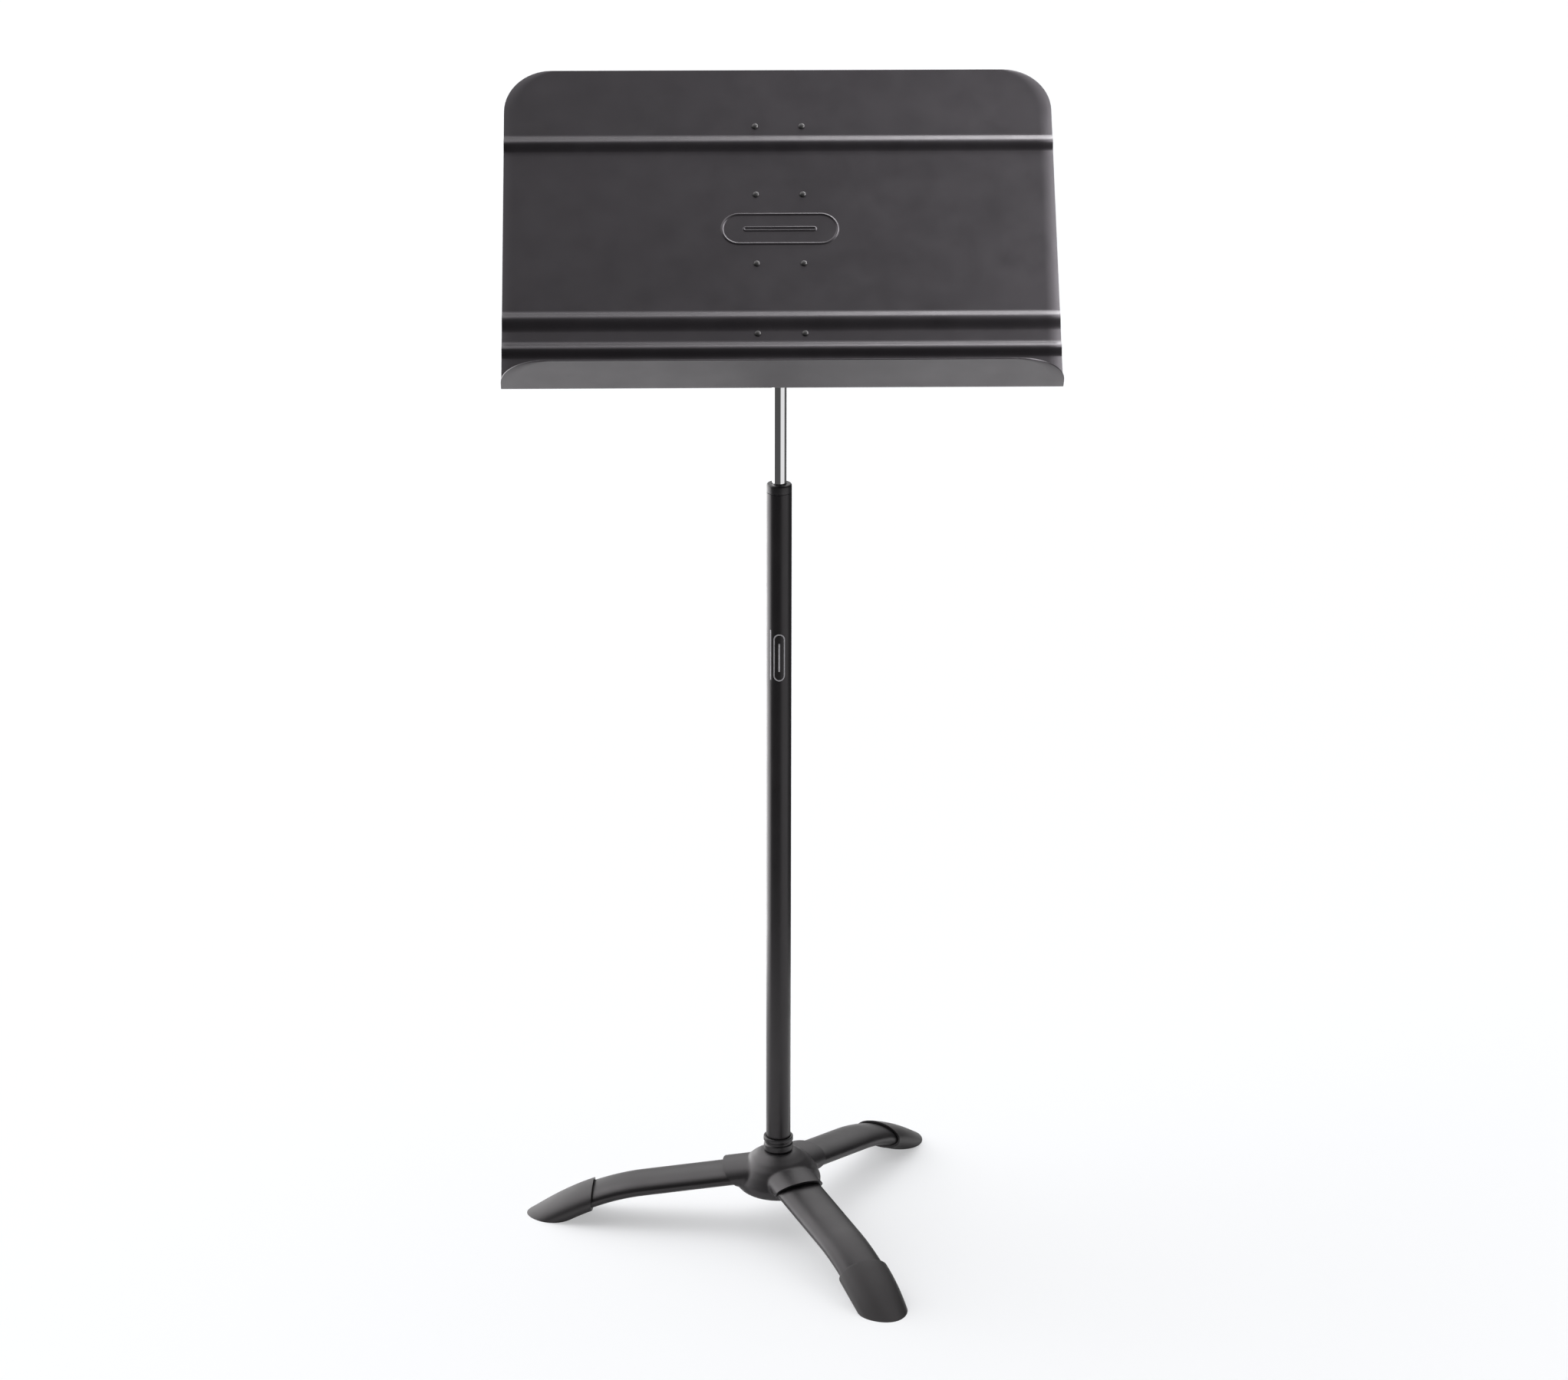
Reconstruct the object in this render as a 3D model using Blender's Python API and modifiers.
"""A free-standing music stand: a ribbed sheet-steel desk that tilts on a telescopic mast, on a tripod base.

Metres, +Z up, the floor at z = 0 and the reader at -Y.
Each piece is one object, in the collection music_stand.
The desk is modelled upright and leans back with its parent empty, whose origin is the tilt bolt's axis.
"""

from math import atan2, cos, pi, radians, sin, sqrt

import bmesh
import bpy
from mathutils import Matrix, Vector

MM = 0.001
GAP = 0.3 * MM  # clearance kept between two pieces that touch

# Where the mast stands, and how the desk hangs on it
COLUMN_Y = 9.3 * MM  # the mast is this far behind the middle of the footprint
PIVOT_Z = 980.7 * MM
DESK_LEAN = radians(44.9)  # from upright, backwards
PIVOT_BEHIND_FACE = 30 * MM
PIVOT_ABOVE_LEDGE = 155.8 * MM

# Desk: one bent sheet
DESK_WIDTH = 508 * MM
DESK_HEIGHT = 336.7 * MM
SHEET = 1.2 * MM
LEDGE_DEPTH = 52.6 * MM
BEND = 1.5 * MM
CORNER_RADIUS = 44 * MM
LEDGE_CORNER_RADIUS = 41 * MM
RIB_RISE = 3.5 * MM
# Each rib's crest up the plate, and how far it reaches below and above that
RIBS = ((40 * MM, 9 * MM, 9 * MM), (71.5 * MM, 13 * MM, 9 * MM), (257 * MM, 9.5 * MM, 9.5 * MM))

# Bracket behind the desk, and its rivets
RIVET_X = 21.6 * MM
RIVET_ROWS = tuple((56.5 + 73 * row) * MM for row in range(4))
RIVET_HOLE = 1.9 * MM
BRACKET_HALF_WIDTH = 29 * MM
BRACKET_SHEET = 1.8 * MM
BRACKET_ENDS = (45 * MM, 288 * MM)  # up the plate
CHEEK_END_DEPTH = 9 * MM
CHEEK_EYE_RADIUS = 15 * MM

# Tilt bolt and what it clamps
BOLT_RADIUS = 4 * MM
BOLT_HOLE = BOLT_RADIUS + GAP
WASHER_THICKNESS = 1.2 * MM
FRICTION_THICKNESS = 1.5 * MM
NUT_HEIGHT = 6.5 * MM
HEX_ACROSS_FLATS = 13 * MM

# Telescopic mast
OUTER_RADIUS = 11.9 * MM
OUTER_WALL = 1.5 * MM
OUTER_BORE = OUTER_RADIUS - OUTER_WALL
OUTER_BOTTOM = 45.3 * MM
OUTER_TOP = 752 * MM
CAP_TOP = 760.5 * MM
INNER_RADIUS = 6.75 * MM
INNER_WALL = 1.2 * MM
INNER_BOTTOM = 357 * MM
HEAD_SOCKET_DEPTH = 40 * MM  # below the tilt axis
INNER_TOP = PIVOT_Z - 17 * MM
SLEEVE_HEIGHT = 62 * MM
TENSION_RING_UP = 34 * MM  # above the sleeve's lower end

# Tripod base
HUB_TOP = 75.8 * MM
HUB_FLOOR = 45 * MM
HUB_RECESS_RADIUS = 13.5 * MM
HUB_RECESS_TOP = 41 * MM
COLLAR_TOP = 91 * MM
LEG_AZIMUTHS = {"left": -94.8, "front": 25.2, "rear": 145.2}  # degrees from -Y, towards +X
LEG_WIDTH = 46.4 * MM
LEG_THICKNESS = 19.8 * MM
LEG_WALL = 1.6 * MM
LEG_START = 24 * MM  # distances out from the mast's axis
SOCKET_END = 54.5 * MM
LEG_STRAIGHT_END = 133 * MM
LEG_TOE = 225 * MM  # where the leg's centreline reaches the floor
LEG_END = 207 * MM
LEG_FIRST_SLOPE = 0.161
LEG_LAST_SLOPE = 0.616
LEG_HEIGHT_AT_SOCKET = 48.2 * MM
SOCKET_WALL = 2.4 * MM  # at the sides and underneath
SOCKET_ROOF = 4.6 * MM
SOCKET_LEAN = radians(29)  # the mouth's top is further out than its sill
BOOT_WALL = 2.5 * MM
BOOT_RIM = 183 * MM
LEG_SCREW_OUT = 38 * MM
LEG_SCREW_RADIUS = 2.5 * MM


# ---------------------------------------------------------------- helpers


def new_collection(name):
    collection = bpy.data.collections.new(name)
    bpy.context.scene.collection.children.link(collection)
    return collection


def new_empty(name, location=(0, 0, 0), rotation=(0, 0, 0), parent=None):
    empty = bpy.data.objects.new(name, None)
    empty.location = location
    empty.rotation_euler = rotation
    empty.parent = parent
    PARTS.objects.link(empty)
    return empty


def new_object(name, mesh, parent, location=(0, 0, 0), rotation=(0, 0, 0)):
    piece = bpy.data.objects.new(name, mesh)
    piece.parent = parent
    piece.location = location
    piece.rotation_euler = rotation
    PARTS.objects.link(piece)
    return piece


def finish(piece, material, smooth_degrees=35):
    """The piece's material, and smooth shading with sharp edges kept."""
    if not piece.data.materials:
        piece.data.materials.append(material)
    piece.data.shade_smooth()
    piece.data.set_sharp_from_angle(angle=radians(smooth_degrees))
    return piece


def helper(piece):
    """Turns an object into a hidden cutter or union operand."""
    piece.hide_render = True
    piece.display_type = "WIRE"
    PARTS.objects.unlink(piece)
    CUTTERS.objects.link(piece)
    return piece


def boolean(piece, other, operation="DIFFERENCE"):
    if other.name not in CUTTERS.objects:
        helper(other)
    modifier = piece.modifiers.new(f"{operation.lower()}_{other.name}", "BOOLEAN")
    modifier.operation = operation
    modifier.object = other
    return piece


def turned(name, profile, parent, location=(0, 0, 0), rotation=(0, 0, 0), steps=32, ring=False):
    """A profile of (radius, height) turned about Z, down its outer side. A ring's closes on itself."""
    shape = bmesh.new()
    points = [shape.verts.new((radius, 0, height)) for radius, height in profile]
    for first, second in zip(points, points[1:] + points[:1] * ring):
        shape.edges.new((first, second))
    mesh = bpy.data.meshes.new(name)
    shape.to_mesh(mesh)
    shape.free()
    piece = new_object(name, mesh, parent, location, rotation)
    screw = piece.modifiers.new("turn", "SCREW")
    screw.steps = screw.render_steps = steps
    screw.use_merge_vertices = True
    screw.merge_threshold = 0.00001
    screw.use_smooth_shade = True
    return piece


def rod(name, radius, bottom, top, parent, location=(0, 0, 0), rotation=(0, 0, 0), steps=24):
    profile = [(0, top), (radius, top), (radius, bottom), (0, bottom)]
    return turned(name, profile, parent, location, rotation, steps)


def ring(name, inner, outer, bottom, top, parent, location=(0, 0, 0), rotation=(0, 0, 0), steps=32):
    profile = [(inner, top), (outer, top), (outer, bottom), (inner, bottom)]
    return turned(name, profile, parent, location, rotation, steps, ring=True)


def box(name, low, high, parent, location=(0, 0, 0), rotation=(0, 0, 0)):
    size = [b - a for a, b in zip(low, high)]
    middle = [(a + b) / 2 for a, b in zip(low, high)]
    shape = bmesh.new()
    bmesh.ops.create_cube(shape, size=1, matrix=Matrix.Translation(middle) @ Matrix.Diagonal((*size, 1)))
    mesh = bpy.data.meshes.new(name)
    shape.to_mesh(mesh)
    shape.free()
    return new_object(name, mesh, parent, location, rotation)


def hexagon(name, bottom, top, parent, location=(0, 0, 0), rotation=(0, 0, 0)):
    """A hexagonal prism along Z, for a bolt's head or a nut."""
    shape = bmesh.new()
    corner = HEX_ACROSS_FLATS / sqrt(3)
    place = Matrix.Translation((0, 0, (bottom + top) / 2))
    bmesh.ops.create_cone(
        shape, cap_ends=True, segments=6, radius1=corner, radius2=corner, depth=top - bottom, matrix=place
    )
    mesh = bpy.data.meshes.new(name)
    shape.to_mesh(mesh)
    shape.free()
    return new_object(name, mesh, parent, location, rotation)


def mesh_from_curve(curve_object, weld=0.00001):
    """Replaces a curve object by its mesh, with the loose caps welded on."""
    bpy.context.view_layer.update()
    graph = bpy.context.evaluated_depsgraph_get()
    mesh = bpy.data.meshes.new_from_object(curve_object.evaluated_get(graph))
    name = curve_object.name
    curve_object.name = f"{name}_curve"
    shape = bmesh.new()
    shape.from_mesh(mesh)
    bmesh.ops.remove_doubles(shape, verts=shape.verts, dist=weld)
    bmesh.ops.recalc_face_normals(shape, faces=shape.faces)
    shape.to_mesh(mesh)
    shape.free()
    piece = bpy.data.objects.new(name, mesh)
    PARTS.objects.link(piece)
    piece.parent = curve_object.parent
    piece.matrix_world = curve_object.matrix_world
    bpy.data.objects.remove(curve_object)
    return piece


def plate(name, outline, thickness, parent, location=(0, 0, 0), rotation=(0, 0, 0)):
    """A flat outline in its own XY plane, centred on that plane, as a mesh."""
    curve = bpy.data.curves.new(name, "CURVE")
    curve.dimensions = "2D"
    curve.fill_mode = "BOTH"
    curve.extrude = thickness / 2
    spline = curve.splines.new("POLY")
    spline.points.add(len(outline) - 1)
    for point, (x, y) in zip(spline.points, outline):
        point.co = (x, y, 0, 1)
    spline.use_cyclic_u = True
    return mesh_from_curve(new_object(name, curve, parent, location, rotation))


def ellipse(half_width, half_height, first=0.0, last=2 * pi, count=28, centre=(0, 0)):
    """Points along an ellipse's arc. A whole turn leaves out the point that would repeat."""
    steps = count if abs(last - first) > 6.28 else count - 1
    angles = [first + (last - first) * i / steps for i in range(count)]
    return [(centre[0] + half_width * cos(a), centre[1] + half_height * sin(a)) for a in angles]


def oval_sweep(name, path, width, thickness, parent):
    """An oval section swept along a path of (out, height) in the parent's XZ plane."""
    section = bpy.data.curves.new(f"{name}_section", "CURVE")
    section.dimensions = "2D"
    spline = section.splines.new("POLY")
    outline = ellipse(width / 2, thickness / 2)
    spline.points.add(len(outline) - 1)
    for point, (x, y) in zip(spline.points, outline):
        point.co = (x, y, 0, 1)
    spline.use_cyclic_u = True
    section_object = helper(new_object(f"{name}_section", section, None))
    curve = bpy.data.curves.new(name, "CURVE")
    curve.dimensions = "3D"
    curve.twist_mode = "Z_UP"
    curve.bevel_mode = "OBJECT"
    curve.bevel_object = section_object
    curve.use_fill_caps = True
    spline = curve.splines.new("POLY")
    spline.points.add(len(path) - 1)
    for point, (out, height) in zip(spline.points, path):
        point.co = (out, 0, height, 1)
    piece = mesh_from_curve(new_object(name, curve, parent))
    bpy.data.objects.remove(section_object)
    return piece


def new_material(name, colour, roughness, metallic=0.0):
    material = bpy.data.materials.new(name)
    material.use_nodes = True
    shader = material.node_tree.nodes["Principled BSDF"]
    shader.inputs["Base Color"].default_value = (*colour, 1)
    shader.inputs["Roughness"].default_value = roughness
    shader.inputs["Metallic"].default_value = metallic
    return material


# ---------------------------------------------------------------- tripod base


def leg_height(out):
    """The height of a leg's centreline at a distance out: straight, then a bend whose slope grows evenly."""
    straight = LEG_HEIGHT_AT_SOCKET - LEG_FIRST_SLOPE * (min(out, LEG_STRAIGHT_END) - SOCKET_END)
    bent = max(0.0, min(out, LEG_TOE) - LEG_STRAIGHT_END)
    growth = (LEG_LAST_SLOPE - LEG_FIRST_SLOPE) / (LEG_TOE - LEG_STRAIGHT_END)
    beyond = max(0.0, out - LEG_TOE)
    return straight - LEG_FIRST_SLOPE * bent - growth * bent**2 / 2 - LEG_LAST_SLOPE * beyond


def leg_path(first, last, bend_steps=9):
    """Points along the centreline from one distance out to another, close together only in the bend."""
    bend = [LEG_STRAIGHT_END + (LEG_TOE - LEG_STRAIGHT_END) * i / bend_steps for i in range(bend_steps + 1)]
    outs = [first] + [out for out in bend if first < out < last] + [last]
    return [(out, leg_height(out)) for out in outs]


def make_hub(base, leg_frames):
    """A cast hub: a turned bowl with a bore for the mast, and three oval sockets whose mouths lean out."""
    profile = [
        (16 * MM, HUB_TOP),
        (21 * MM, 73.2 * MM),
        (27 * MM, 69.2 * MM),
        (33 * MM, 63.2 * MM),
        (37.5 * MM, 56.2 * MM),
        (40.5 * MM, 50 * MM),
        (42 * MM, 46 * MM),
        (41.2 * MM, 41 * MM),
        (38 * MM, 37.5 * MM),
        (32 * MM, 34.5 * MM),
        (22 * MM, 33 * MM),
        (HUB_RECESS_RADIUS, 32.8 * MM),
        (HUB_RECESS_RADIUS, HUB_RECESS_TOP),
        (BOLT_HOLE, HUB_RECESS_TOP),
        (BOLT_HOLE, HUB_TOP),
    ]
    hub = turned("base_hub", profile, base, steps=36, ring=True)
    raised = (SOCKET_ROOF - SOCKET_WALL) / 2
    mouth_lean = SOCKET_LEAN + atan2(LEG_FIRST_SLOPE, 1)
    for side, frame in leg_frames.items():
        path = [(out, height + raised) for out, height in leg_path(18 * MM, SOCKET_END + 12 * MM)]
        thickness = LEG_THICKNESS + SOCKET_WALL + SOCKET_ROOF
        socket = oval_sweep(f"{side}_socket", path, LEG_WIDTH + 2 * SOCKET_WALL, thickness, frame)
        mouth_top = (SOCKET_END, 0, leg_height(SOCKET_END) + LEG_THICKNESS / 2 + SOCKET_ROOF)
        mouth = box(f"{side}_mouth", (0, -50 * MM, -60 * MM), (50 * MM, 50 * MM, 30 * MM), frame, mouth_top)
        mouth.rotation_euler = (0, mouth_lean, 0)
        boolean(socket, mouth)
        boolean(hub, socket, "UNION")
    for side, frame in leg_frames.items():
        path = leg_path(LEG_START - GAP, SOCKET_END + 5 * MM)
        pocket = oval_sweep(f"{side}_pocket", path, LEG_WIDTH + 2 * GAP, LEG_THICKNESS + 2 * GAP, frame)
        boolean(hub, pocket)
        drill_place = leg_screw_place(LEG_THICKNESS / 2 - 5 * MM)
        drill = rod(f"{side}_hub_drill", LEG_SCREW_RADIUS + GAP, -20 * MM, 0, frame, *drill_place, steps=16)
        boolean(hub, drill)
        spot_place = leg_screw_place(LEG_THICKNESS / 2 + 2 * MM)
        spot_face = rod(f"{side}_spot_face", 5.4 * MM, -14 * MM, 0, frame, *spot_place, steps=24)
        boolean(hub, spot_face)
    clear_bore = rod("hub_bore_clearance", OUTER_RADIUS + GAP, HUB_FLOOR, HUB_TOP + 5 * MM, base, steps=40)
    boolean(hub, clear_bore)
    return finish(hub, BLACK_CASTING)


def leg_screw_place(below):
    """Location and rotation, in a leg's frame, of a point square below the leg's centreline at its screw."""
    tilt = atan2(LEG_FIRST_SLOPE, 1)
    out = LEG_SCREW_OUT - below * sin(tilt)
    height = leg_height(LEG_SCREW_OUT) - below * cos(tilt)
    return (out, 0, height), (0, tilt, 0)


def make_leg(side, frame):
    """A bent tube of oval section, open at both ends, drilled underneath for its screw."""
    leg = oval_sweep(f"{side}_leg", leg_path(LEG_START, LEG_END), LEG_WIDTH, LEG_THICKNESS, frame)
    hollow = oval_sweep(
        f"{side}_leg_hollow",
        leg_path(LEG_START - 5 * MM, LEG_END + 5 * MM),
        LEG_WIDTH - 2 * LEG_WALL,
        LEG_THICKNESS - 2 * LEG_WALL,
        frame,
    )
    boolean(leg, hollow)
    drill = rod(
        f"{side}_leg_drill",
        LEG_SCREW_RADIUS + GAP,
        -10 * MM,
        0,
        frame,
        *leg_screw_place(LEG_THICKNESS / 2 - 5 * MM),
        steps=16,
    )
    boolean(leg, drill)
    return finish(leg, BLACK_PAINT)


def make_boot(side, frame):
    """A rubber boot over the leg's end: the leg's oval, larger, cut flat by the floor."""
    boot_width = LEG_WIDTH + 2 * BOOT_WALL + 2 * GAP
    boot_thickness = LEG_THICKNESS + 2 * BOOT_WALL + 2 * GAP
    path = leg_path(BOOT_RIM - 12 * MM, LEG_TOE + 40 * MM)
    boot = oval_sweep(f"{side}_boot", path, boot_width, boot_thickness, frame)
    floor = box(f"{side}_floor", (0.1, -0.1, -0.1), (0.4, 0.1, 0), frame)
    boolean(boot, floor)
    inner_side = box(f"{side}_rim_plane", (0.1, -0.1, -0.05), (BOOT_RIM, 0.1, 0.1), frame)
    boolean(boot, inner_side)
    pocket_path = leg_path(BOOT_RIM - 20 * MM, LEG_END + GAP)
    pocket = oval_sweep(
        f"{side}_boot_pocket", pocket_path, LEG_WIDTH + 2 * GAP, LEG_THICKNESS + 2 * GAP, frame
    )
    boolean(boot, pocket)
    return finish(boot, RUBBER)


def make_leg_screw(side, frame):
    """A pan-head screw that comes up through the socket into the leg."""
    profile = [
        (0, 11 * MM),
        (LEG_SCREW_RADIUS - 0.5 * MM, 11 * MM),
        (LEG_SCREW_RADIUS, 10.5 * MM),
        (LEG_SCREW_RADIUS, 0),
        (4.6 * MM, 0),
        (4.6 * MM, -1.8 * MM),
        (3.6 * MM, -2.9 * MM),
        (1.6 * MM, -3.2 * MM),
        (1.6 * MM, -1.4 * MM),
        (0, -1.4 * MM),
    ]
    place = leg_screw_place(LEG_THICKNESS / 2 + 2 * MM + GAP)
    return finish(turned(f"{side}_leg_screw", profile, frame, *place, steps=16), STEEL)


def make_base(base):
    leg_frames = {
        side: new_empty(f"{side}_leg_frame", rotation=(0, 0, radians(azimuth - 90)), parent=base)
        for side, azimuth in LEG_AZIMUTHS.items()
    }
    make_hub(base, leg_frames)
    for side, frame in leg_frames.items():
        make_leg(side, frame)
        make_boot(side, frame)
        make_leg_screw(side, frame)
    washer_top = HUB_RECESS_TOP - GAP
    washer_bottom = washer_top - WASHER_THICKNESS
    finish(ring("hub_bolt_washer", BOLT_HOLE, 11 * MM, washer_bottom, washer_top, base, steps=24), STEEL)
    head_top = washer_bottom - GAP
    bolt = hexagon("hub_bolt", head_top - 5.3 * MM, head_top, base)
    boolean(bolt, rod("hub_bolt_shank", BOLT_RADIUS, head_top - 2 * MM, 68 * MM, base), "UNION")
    finish(bolt, STEEL)
    collar = [
        (13.6 * MM, COLLAR_TOP),
        (14.6 * MM, COLLAR_TOP - 1 * MM),
        (14.6 * MM, COLLAR_TOP - 4.5 * MM),
        (13.4 * MM, COLLAR_TOP - 5.5 * MM),
        (13.4 * MM, COLLAR_TOP - 7 * MM),
        (14.3 * MM, COLLAR_TOP - 8 * MM),
        (14.3 * MM, HUB_TOP + 2 * MM),
        (13.7 * MM, HUB_TOP + GAP),
        (OUTER_RADIUS + GAP, HUB_TOP + GAP),
        (OUTER_RADIUS + GAP, COLLAR_TOP),
    ]
    finish(turned("base_collar", collar, base, ring=True), BLACK_PLASTIC)


# ---------------------------------------------------------------- mast


def make_outer_mast(base):
    finish(ring("outer_tube", OUTER_BORE, OUTER_RADIUS, OUTER_BOTTOM, OUTER_TOP, base, steps=40), BLACK_PAINT)
    plug_radius = OUTER_BORE - GAP
    plug = [
        (0, 75 * MM),
        (plug_radius - 1 * MM, 75 * MM),
        (plug_radius, 74 * MM),
        (plug_radius, OUTER_BOTTOM),
        (BOLT_HOLE, OUTER_BOTTOM),
        (BOLT_HOLE, 70 * MM),
        (0, 70 * MM),
    ]
    finish(turned("tube_plug", plug, base, steps=24), STEEL)
    shoulder = 4 * MM  # radius of the cap's rounded edge
    edge = ellipse(shoulder, shoulder, pi / 2, 0, 6, (OUTER_RADIUS - shoulder, CAP_TOP - shoulder))
    cap = edge + [
        (OUTER_RADIUS, OUTER_TOP + GAP),
        (OUTER_BORE - GAP, OUTER_TOP + GAP),
        (OUTER_BORE - GAP, OUTER_TOP - 28 * MM),
        (INNER_RADIUS + GAP, OUTER_TOP - 28 * MM),
        (INNER_RADIUS + GAP, CAP_TOP),
    ]
    finish(turned("tube_cap", cap, base, steps=40, ring=True), BLACK_PLASTIC)


def make_clutch(slide):
    """The split nylon sleeve that grips the outer tube from inside, and the ring that spreads it."""
    bottom = INNER_BOTTOM + 3 * MM
    middle = bottom + TENSION_RING_UP
    outer = OUTER_BORE - GAP
    groove = outer - 1.9 * MM
    profile = [
        (outer, bottom + SLEEVE_HEIGHT),
        (outer, middle + 1.2 * MM),
        (groove, middle + 1.2 * MM),
        (groove, middle - 1.2 * MM),
        (outer, middle - 1.2 * MM),
        (outer, bottom),
        (INNER_RADIUS + GAP, bottom),
        (INNER_RADIUS + GAP, bottom + SLEEVE_HEIGHT),
    ]
    sleeve = turned("clutch_sleeve", profile, slide, ring=True)
    for turn in range(2):
        slot = box(
            f"clutch_slot_{turn + 1}",
            (-12 * MM, -0.8 * MM, bottom + 18 * MM),
            (12 * MM, 0.8 * MM, bottom + SLEEVE_HEIGHT + 5 * MM),
            slide,
            rotation=(0, 0, turn * pi / 2),
        )
        boolean(sleeve, slot)
    finish(sleeve, NYLON)
    wire = 0.75 * MM
    circle = ellipse(wire, wire, pi / 2, -3 * pi / 2, 8, (outer - wire, middle))
    finish(turned("clutch_tension_ring", circle, slide, ring=True, steps=28), STEEL)


def make_inner_mast(mast):
    inner_bore = INNER_RADIUS - INNER_WALL
    tube = ring("inner_tube", inner_bore, INNER_RADIUS, INNER_BOTTOM, INNER_TOP, mast, steps=36)
    pin_height = PIVOT_Z - 30 * MM
    pin_place = {"location": (0, 0, pin_height), "rotation": (0, pi / 2, 0)}
    pin_drill = rod("tube_pin_drill", 1.6 * MM + GAP, -15 * MM, 15 * MM, mast, steps=16, **pin_place)
    boolean(tube, pin_drill)
    finish(tube, CHROME)
    end_plug = [
        (0, INNER_BOTTOM + 18 * MM),
        (inner_bore - GAP, INNER_BOTTOM + 18 * MM),
        (inner_bore - GAP, INNER_BOTTOM - GAP),
        (9.6 * MM, INNER_BOTTOM - GAP),
        (9.6 * MM, INNER_BOTTOM - 5 * MM),
        (8.4 * MM, INNER_BOTTOM - 6.2 * MM),
        (0, INNER_BOTTOM - 6.2 * MM),
    ]
    finish(turned("mast_end_plug", end_plug, mast, steps=24), STEEL)
    ring_bottom = INNER_BOTTOM + 3 * MM + SLEEVE_HEIGHT + GAP
    ring_top = ring_bottom + 1.5 * MM
    snap_ring = ring("mast_snap_ring", INNER_RADIUS + GAP, 9.4 * MM, ring_bottom, ring_top, mast)
    opening = box("snap_ring_opening", (0, -3 * MM, ring_bottom - 1 * MM), (15 * MM, 3 * MM, 0.5), mast)
    boolean(snap_ring, opening)
    finish(snap_ring, STEEL)
    make_tilt_head(mast, pin_drill)
    finish(rod("head_pin", 1.6 * MM, -9.3 * MM, 9.3 * MM, mast, steps=16, **pin_place), STEEL)


def make_tilt_head(mast, pin_drill):
    """A tee: a barrel across the mast for the tilt bolt, on a socket that holds the inner tube."""
    half_length = BRACKET_HALF_WIDTH - BRACKET_SHEET - FRICTION_THICKNESS - 2 * GAP
    across = {"location": (0, 0, PIVOT_Z), "rotation": (0, pi / 2, 0)}
    chamfer = 0.8 * MM
    barrel = [
        (0, half_length),
        (11 * MM - chamfer, half_length),
        (11 * MM, half_length - chamfer),
        (11 * MM, chamfer - half_length),
        (11 * MM - chamfer, -half_length),
        (0, -half_length),
    ]
    head = turned("tilt_head", barrel, mast, **across)
    socket_bottom = PIVOT_Z - HEAD_SOCKET_DEPTH
    socket = [
        (0, PIVOT_Z),
        (9.5 * MM, PIVOT_Z),
        (9.5 * MM, socket_bottom + 1 * MM),
        (8.7 * MM, socket_bottom),
        (0, socket_bottom),
    ]
    boolean(head, turned("head_socket", socket, mast), "UNION")
    bore_bottom = socket_bottom - 5 * MM
    boolean(head, rod("head_tube_bore", INNER_RADIUS + GAP, bore_bottom, INNER_TOP + GAP, mast, steps=36))
    boolean(head, rod("head_bolt_bore", BOLT_HOLE, -40 * MM, 40 * MM, mast, **across))
    boolean(head, pin_drill)
    return finish(head, BLACK_CASTING)


# ---------------------------------------------------------------- desk


def rib_rise(height):
    """How far the sheet stands forward at a height up the plate."""
    rise = 0.0
    for crest, below, above in RIBS:
        away = abs(height - crest) / (below if height < crest else above)
        if away < 1:
            rise += RIB_RISE * (1 + cos(pi * away)) / 2
    return rise


def desk_profile():
    """The music side of the sheet as (forward, up), from the ledge's front edge to the plate's top."""
    points = [(LEDGE_DEPTH, SHEET)]
    points += ellipse(BEND, BEND, -pi / 2, -pi, 5, (BEND, SHEET + BEND))
    for crest, below, above in RIBS:
        heights = [crest + below * (step / 5 - 1) for step in range(5)]
        heights += [crest + above * step / 5 for step in range(6)]
        points += [(rib_rise(height), height) for height in heights]
    points.append((0, DESK_HEIGHT))
    return points


def in_desk(forward, up):
    """(Y, Z) in the desk's frame of a place in front of the plate's face and above the ledge's underside."""
    return -PIVOT_BEHIND_FACE - forward, up - PIVOT_ABOVE_LEDGE


def corner_outline(edge, end, radius):
    """What is cut away outside a round corner whose sides are x = edge and y = end."""
    beyond = 5 * MM
    centre = (edge - radius, end - radius)
    arc = ellipse(radius, radius, 0, pi / 2, 12, centre)
    start = (edge, centre[1] - 1 * MM)
    stop = (centre[0] - 1 * MM, end)
    outside = [(stop[0], end + beyond), (edge + beyond, end + beyond), (edge + beyond, start[1])]
    return [start, *arc, stop, *outside]


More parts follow.
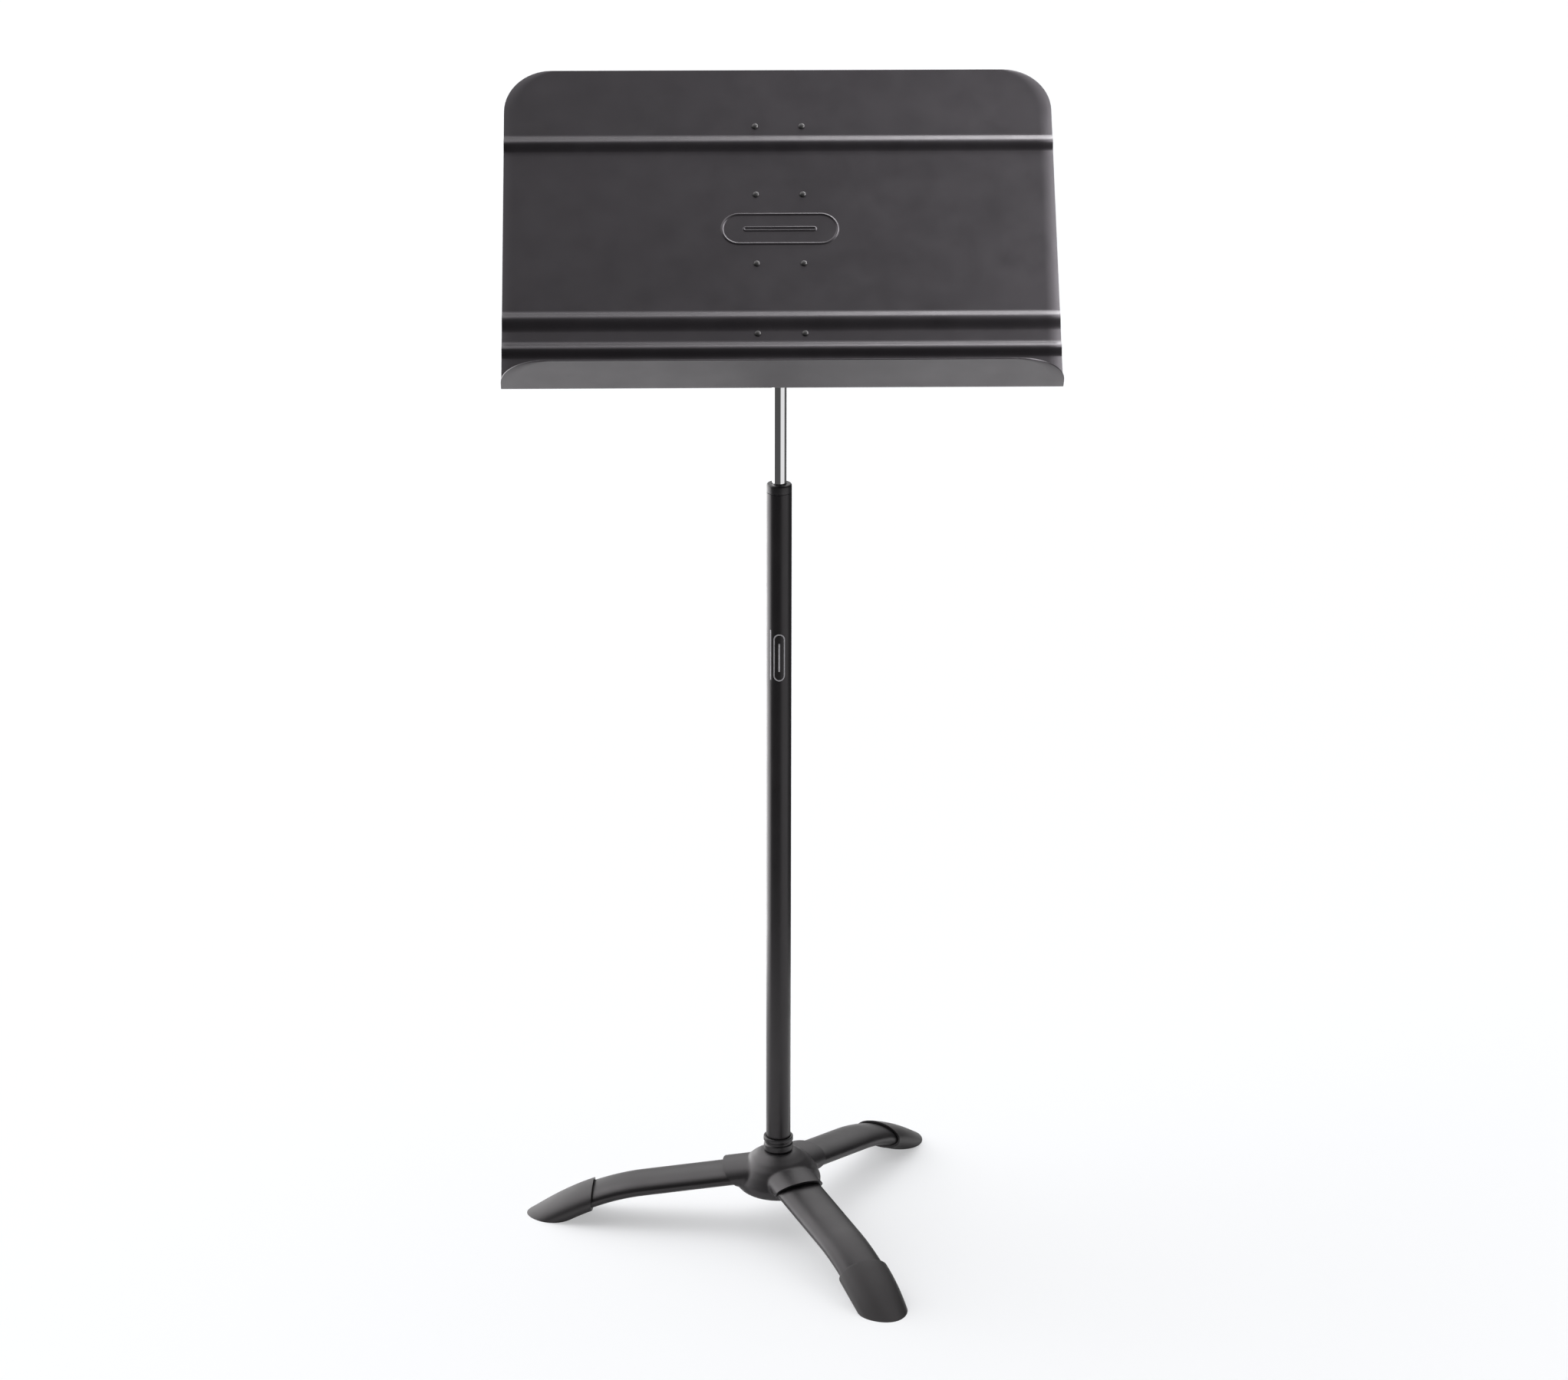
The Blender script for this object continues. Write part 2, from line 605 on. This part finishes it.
def make_desk_plate(desk):
    """One sheet bent into plate and ledge, with three pressed ribs and round corners."""
    shape = bmesh.new()
    rows = []
    for forward, up in desk_profile():
        y, z = in_desk(forward, up)
        rows.append([shape.verts.new((side * DESK_WIDTH / 2, y, z)) for side in (-1, 1)])
    for lower, upper in zip(rows, rows[1:]):
        shape.faces.new((lower[0], lower[1], upper[1], upper[0]))
    mesh = bpy.data.meshes.new("desk_plate")
    shape.to_mesh(mesh)
    shape.free()
    sheet = new_object("desk_plate", mesh, desk)
    solidify = sheet.modifiers.new("thickness", "SOLIDIFY")
    solidify.thickness = SHEET
    solidify.offset = -1
    solidify.use_even_offset = True
    top = corner_outline(DESK_WIDTH / 2, DESK_HEIGHT - PIVOT_ABOVE_LEDGE, CORNER_RADIUS)
    front = corner_outline(DESK_WIDTH / 2, PIVOT_BEHIND_FACE + LEDGE_DEPTH, LEDGE_CORNER_RADIUS)
    for side, name in ((-1, "left"), (1, "right")):
        outline = [(side * x, z) for x, z in top]
        place = (0, -PIVOT_BEHIND_FACE, 0)
        boolean(sheet, plate(f"{name}_top_corner", outline, 30 * MM, desk, place, (pi / 2, 0, 0)))
        outline = [(side * x, -y) for x, y in front]
        place = (0, 0, -PIVOT_ABOVE_LEDGE)
        boolean(sheet, plate(f"{name}_ledge_corner", outline, 10 * MM, desk, place))
    for drill in rivet_drills(desk):
        boolean(sheet, drill)
    return finish(sheet, BLACK_PAINT)


def rivet_places():
    """Each rivet's name and its place on the plate's face."""
    for row, up in enumerate(RIVET_ROWS, 1):
        for side, name in ((-1, "left"), (1, "right")):
            y, z = in_desk(0, up)
            yield f"{name}_{row}", (side * RIVET_X, y, z)


def rivet_drills(desk):
    drills = []
    for name, place in rivet_places():
        drill = CUTTERS.objects.get(f"rivet_drill_{name}")
        if drill is None:
            drill = rod(
                f"rivet_drill_{name}", RIVET_HOLE, -12 * MM, 12 * MM, desk, place, (pi / 2, 0, 0), steps=12
            )
            helper(drill)
        drills.append(drill)
    return drills


def make_rivets(desk):
    """Domed heads on the music side, shanks through sheet and bracket, and set heads behind."""
    head = 2.9 * MM
    shank = RIVET_HOLE - GAP
    grip = SHEET + BRACKET_SHEET + 2 * GAP
    dome = ellipse(head, 1.1 * MM, pi / 2, 0, 5, (0, GAP))
    profile = dome + [
        (shank, GAP),
        (shank, -grip),
        (2.6 * MM, -grip),
        (2.1 * MM, -grip - 1 * MM),
        (0, -grip - 1 * MM),
    ]
    for name, place in rivet_places():
        rivet = turned(f"rivet_{name}", profile, desk, place, (pi / 2, 0, 0), steps=16)
        finish(rivet, RIVET_BLACK)


def make_bracket(desk):
    """A channel: its web riveted to the sheet's back, and two cheeks that deepen to the tilt bolt's eye."""
    web_front = -PIVOT_BEHIND_FACE + SHEET + GAP
    low = BRACKET_ENDS[0] - PIVOT_ABOVE_LEDGE
    high = BRACKET_ENDS[1] - PIVOT_ABOVE_LEDGE
    web = box(
        "desk_bracket",
        (-BRACKET_HALF_WIDTH, web_front, low),
        (BRACKET_HALF_WIDTH, web_front + BRACKET_SHEET, high),
        desk,
    )
    eye = ellipse(CHEEK_EYE_RADIUS, CHEEK_EYE_RADIUS, -radians(60), radians(60), 9)
    end_back = web_front + CHEEK_END_DEPTH
    outline = [(web_front, low), (end_back, low), *eye, (end_back, high), (web_front, high)]
    # The outline's plane stands up across X, its first axis along the desk's Y and its second along Z.
    turn = Matrix(((0, 0, 1), (1, 0, 0), (0, 1, 0))).to_euler()
    for side, name in ((-1, "left"), (1, "right")):
        middle = side * (BRACKET_HALF_WIDTH - BRACKET_SHEET / 2)
        cheek = plate(f"{name}_cheek", outline, BRACKET_SHEET, desk, (middle, 0, 0), turn)
        boolean(web, cheek, "UNION")
    bolt_drill = rod("bracket_bolt_drill", BOLT_HOLE, -40 * MM, 40 * MM, desk, rotation=(0, pi / 2, 0))
    boolean(web, bolt_drill)
    for drill in rivet_drills(desk):
        boolean(web, drill)
    return finish(web, BLACK_PAINT)


def make_tilt_bolt(desk):
    """The bolt along X through both cheeks and the head, with its washers and lock nut."""
    along = (0, pi / 2, 0)
    cheek_inside = BRACKET_HALF_WIDTH - BRACKET_SHEET
    friction_outside = cheek_inside - GAP
    friction_inside = friction_outside - FRICTION_THICKNESS
    washer_inside = BRACKET_HALF_WIDTH + GAP
    washer_outside = washer_inside + WASHER_THICKNESS
    washers = (
        ("left_friction_washer", 9.8 * MM, -friction_outside, -friction_inside, NYLON),
        ("right_friction_washer", 9.8 * MM, friction_inside, friction_outside, NYLON),
        ("tilt_bolt_washer", 8.5 * MM, -washer_outside, -washer_inside, STEEL),
        ("tilt_nut_washer", 8.5 * MM, washer_inside, washer_outside, STEEL),
    )
    for name, radius, low, high, material in washers:
        finish(ring(name, BOLT_HOLE, radius, low, high, desk, rotation=along), material)
    nut_inside = washer_outside + GAP
    nut = hexagon("tilt_lock_nut", nut_inside, nut_inside + NUT_HEIGHT, desk, rotation=along)
    boolean(nut, rod("nut_bore", BOLT_HOLE, 0, 60 * MM, desk, rotation=along))
    finish(nut, STEEL)
    bolt_end = nut_inside + NUT_HEIGHT + 2 * MM
    head_inside = -nut_inside
    dome = ellipse(8 * MM, 4.4 * MM, 0, -pi / 2, 6, (0, head_inside))
    profile = [
        (0, bolt_end),
        (BOLT_RADIUS - 0.6 * MM, bolt_end),
        (BOLT_RADIUS, bolt_end - 0.6 * MM),
        (BOLT_RADIUS, head_inside),
        *dome,
    ]
    finish(turned("tilt_bolt", profile, desk, rotation=along, steps=24), STEEL)


# ---------------------------------------------------------------- the whole stand

for old in list(bpy.data.objects):
    bpy.data.objects.remove(old, do_unlink=True)

PARTS = new_collection("music_stand")
CUTTERS = new_collection("cutters")

BLACK_PAINT = new_material("black_paint", (0.045, 0.042, 0.045), 0.42, 0.2)
BLACK_CASTING = new_material("black_casting", (0.05, 0.048, 0.05), 0.5, 0.2)
BLACK_PLASTIC = new_material("black_plastic", (0.03, 0.03, 0.032), 0.45)
RUBBER = new_material("rubber", (0.06, 0.06, 0.062), 0.6)
CHROME = new_material("chrome", (0.8, 0.8, 0.8), 0.08, 1)
STEEL = new_material("steel", (0.5, 0.5, 0.5), 0.35, 1)
RIVET_BLACK = new_material("rivet_black", (0.03, 0.03, 0.03), 0.4, 0.3)
NYLON = new_material("nylon", (0.75, 0.74, 0.7), 0.5)

base_frame = new_empty("base_frame", (0, COLUMN_Y, 0))
slide_frame = new_empty("height_slide_frame", parent=base_frame)
mast_frame = new_empty("mast_swivel_frame", parent=slide_frame)
desk_frame = new_empty("desk_tilt_frame", (0, 0, PIVOT_Z), (-DESK_LEAN, 0, 0), mast_frame)

make_base(base_frame)
make_outer_mast(base_frame)
make_clutch(slide_frame)
make_inner_mast(mast_frame)
make_desk_plate(desk_frame)
make_bracket(desk_frame)
make_rivets(desk_frame)
make_tilt_bolt(desk_frame)
